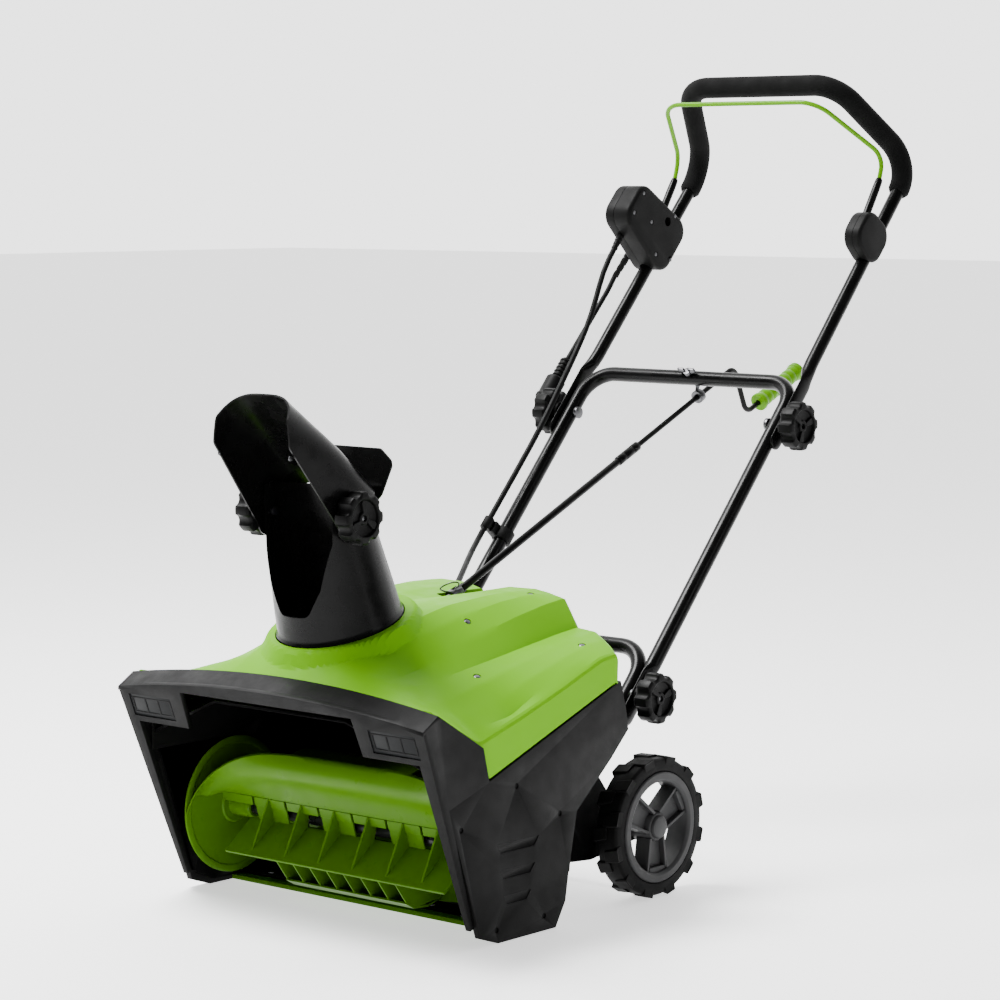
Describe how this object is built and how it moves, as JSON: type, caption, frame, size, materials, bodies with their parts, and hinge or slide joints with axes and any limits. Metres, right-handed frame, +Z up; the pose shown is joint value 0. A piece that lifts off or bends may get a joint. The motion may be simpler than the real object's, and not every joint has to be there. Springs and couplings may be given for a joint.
{
  "type": "electric snow thrower",
  "caption": "Walk-behind electric snow thrower with a full-width auger, lamps, a cranked discharge chute with tilting deflector, a bail switch and a folding tube handle",
  "frame": {"origin": "middle of the footprint on the ground", "axes": "+X to the operator's left, -Y is the front with the auger mouth, +Z up"},
  "size_m": [0.552, 1.2058, 1.1277],
  "materials": {
    "cover_green": "moulded, satin",
    "rotor_green": "moulded, gloss",
    "shell_black": "moulded, fine grain",
    "knob_black": "moulded, satin",
    "lens": "smoked, three cells",
    "tube_black": "gloss enamel",
    "bail_green": "gloss coating",
    "foam": "closed-cell foam",
    "rubber_black": "cable and belt rubber",
    "tyre": "moulded, matt",
    "hub_grey": "moulded, fine grain",
    "steel": "zinc plated",
    "shaft_black": "black oxide",
    "motor_grey": "enamelled can",
    "board": "coated laminate"
  },
  "bodies": {
    "machine": {"auger_housing": "shell_black", "front_bezel": "shell_black", "top_cover": "cover_green", "side_cover_left": "shell_black", "side_cover_right": "shell_black", "scraper_bar": "rotor_green", "scraper_screws": "steel", "lamp_left": "lens", "lamp_right": "lens", "lamp_board": "board", "motor": "motor_grey", "drive_belt": "rubber_black", "control_board": "board", "bearing_left": "steel", "bearing_right": "steel", "wheel_axle": "steel", "rear_hoop": "tube_black", "lower_handle": "tube_black", "lower_bolts": "steel", "mid_bolts": "steel", "crank_eye": "steel", "cable_clip": "shell_black", "cable_grommet": "rubber_black", "chute_retainer": "shell_black", "power_cable_lower": "rubber_black"},
    "auger": {"auger_shaft": "shaft_black", "auger_rotor": "rotor_green", "auger_pulley": "shell_black"},
    "motor_rotor": {"motor_spindle": "steel"},
    "wheel_left": {"tyre_left": "tyre", "hub_left": "hub_grey", "hub_cap_left": "hub_grey"},
    "wheel_right": {"tyre_right": "tyre", "hub_right": "hub_grey", "hub_cap_right": "hub_grey"},
    "chute_turret": {"chute": "shell_black", "deflector_bolts": "steel"},
    "pinion": {"chute_pinion": "steel"},
    "deflector": {"deflector": "shell_black"},
    "chute_knob_left": {"knob_chute_left": "knob_black"},
    "chute_knob_right": {"knob_chute_right": "knob_black"},
    "mid_knob_left": {"knob_mid_left": "knob_black"},
    "mid_knob_right": {"knob_mid_right": "knob_black"},
    "lower_knob_left": {"knob_lower_left": "knob_black"},
    "lower_knob_right": {"knob_lower_right": "knob_black"},
    "upper_frame": {"upper_handle": "tube_black", "foam_grip": "foam", "switch_box": "shell_black", "switch_lid": "shell_black", "switch_screws": "steel", "pivot_box": "shell_black", "strain_relief": "rubber_black", "power_cable_upper": "rubber_black", "pigtail_cable": "rubber_black", "pigtail_plug": "rubber_black"},
    "bail": {"bail": "bail_green", "bail_sleeves": "knob_black"},
    "lock_button": {"lock_button": "rotor_green"},
    "crank": {"crank_rod": "tube_black"},
    "crank_handle": {"crank_grip": "cover_green"}
  },
  "joints": [
    {"name": "wheel_left_spin", "type": "hinge", "parent": "machine", "child": "wheel_left", "pos_m": [-0.245, -0.0922, 0.097], "axis": [1, 0, 0], "continuous": true},
    {"name": "wheel_right_spin", "type": "hinge", "parent": "machine", "child": "wheel_right", "pos_m": [0.245, -0.0922, 0.097], "axis": [1, 0, 0], "continuous": true},
    {"name": "auger_spin", "type": "hinge", "parent": "machine", "child": "auger", "pos_m": [0, -0.3969, 0.11], "axis": [1, 0, 0], "continuous": true},
    {"name": "motor_spin", "type": "hinge", "parent": "machine", "child": "motor_rotor", "pos_m": [0.23, -0.2459, 0.252], "axis": [1, 0, 0], "continuous": true},
    {"name": "chute_turn", "type": "hinge", "parent": "machine", "child": "chute_turret", "pos_m": [0, -0.4409, 0.391], "axis": [0, -0.2924, 0.9563], "range_deg": [-90, 90]},
    {"name": "pinion_turn", "type": "hinge", "parent": "machine", "child": "pinion", "pos_m": [0, -0.27248, 0.38738], "axis": [0, 0.9563, 0.2924], "range_deg": [-720, 720]},
    {"name": "crank_turn", "type": "hinge", "parent": "machine", "child": "crank", "pos_m": [0, 0.06638, 0.52854], "axis": [0, 0.9143, 0.4051], "range_deg": [-720, 720]},
    {"name": "deflector_tilt", "type": "hinge", "parent": "chute_turret", "child": "deflector", "pos_m": [0, -0.4994, 0.5395], "axis": [1, 0, 0], "range_deg": [0, 35]},
    {"name": "chute_knob_left_turn", "type": "hinge", "parent": "chute_turret", "child": "chute_knob_left", "pos_m": [-0.09, -0.4994, 0.5395], "axis": [1, 0, 0], "continuous": true},
    {"name": "chute_knob_right_turn", "type": "hinge", "parent": "chute_turret", "child": "chute_knob_right", "pos_m": [0.09, -0.4994, 0.5395], "axis": [1, 0, 0], "continuous": true},
    {"name": "mid_knob_left_turn", "type": "hinge", "parent": "machine", "child": "mid_knob_left", "pos_m": [-0.225, 0.2701, 0.6194], "axis": [1, 0, 0], "continuous": true},
    {"name": "mid_knob_right_turn", "type": "hinge", "parent": "machine", "child": "mid_knob_right", "pos_m": [0.225, 0.2701, 0.6194], "axis": [1, 0, 0], "continuous": true},
    {"name": "lower_knob_left_turn", "type": "hinge", "parent": "machine", "child": "lower_knob_left", "pos_m": [-0.215, -0.04974, 0.26418], "axis": [1, 0, 0], "continuous": true},
    {"name": "lower_knob_right_turn", "type": "hinge", "parent": "machine", "child": "lower_knob_right", "pos_m": [0.215, -0.04974, 0.26418], "axis": [1, 0, 0], "continuous": true},
    {"name": "upper_fold", "type": "hinge", "parent": "machine", "child": "upper_frame", "pos_m": [0, 0.2701, 0.6194], "axis": [1, 0, 0], "range_deg": [0, 120], "deforming": ["power_cable_upper"]},
    {"name": "bail_squeeze", "type": "hinge", "parent": "upper_frame", "child": "bail", "pos_m": [0, 0.4852, 0.90611], "axis": [-1, 0, 0], "range_deg": [0, 10], "stiffness_Nm_per_rad": 1.2, "springref_deg": -20.05},
    {"name": "lock_press", "type": "slide", "parent": "upper_frame", "child": "lock_button", "axis": [1, 0, 0], "range_m": [0, 0.004], "stiffness_N_per_m": 300, "springref_m": -0.002},
    {"name": "crank_grip_spin", "type": "hinge", "parent": "crank", "child": "crank_handle", "pos_m": [0, 0.54068, 0.65341], "axis": [0, 0.9143, 0.4051], "continuous": true}
  ],
  "couplings": [
    {"joint": "motor_spin", "follows": "auger_spin", "ratio": 6},
    {"joint": "pinion_turn", "follows": "chute_turn", "ratio": -8},
    {"joint": "crank_turn", "follows": "chute_turn", "ratio": -8}
  ]
}
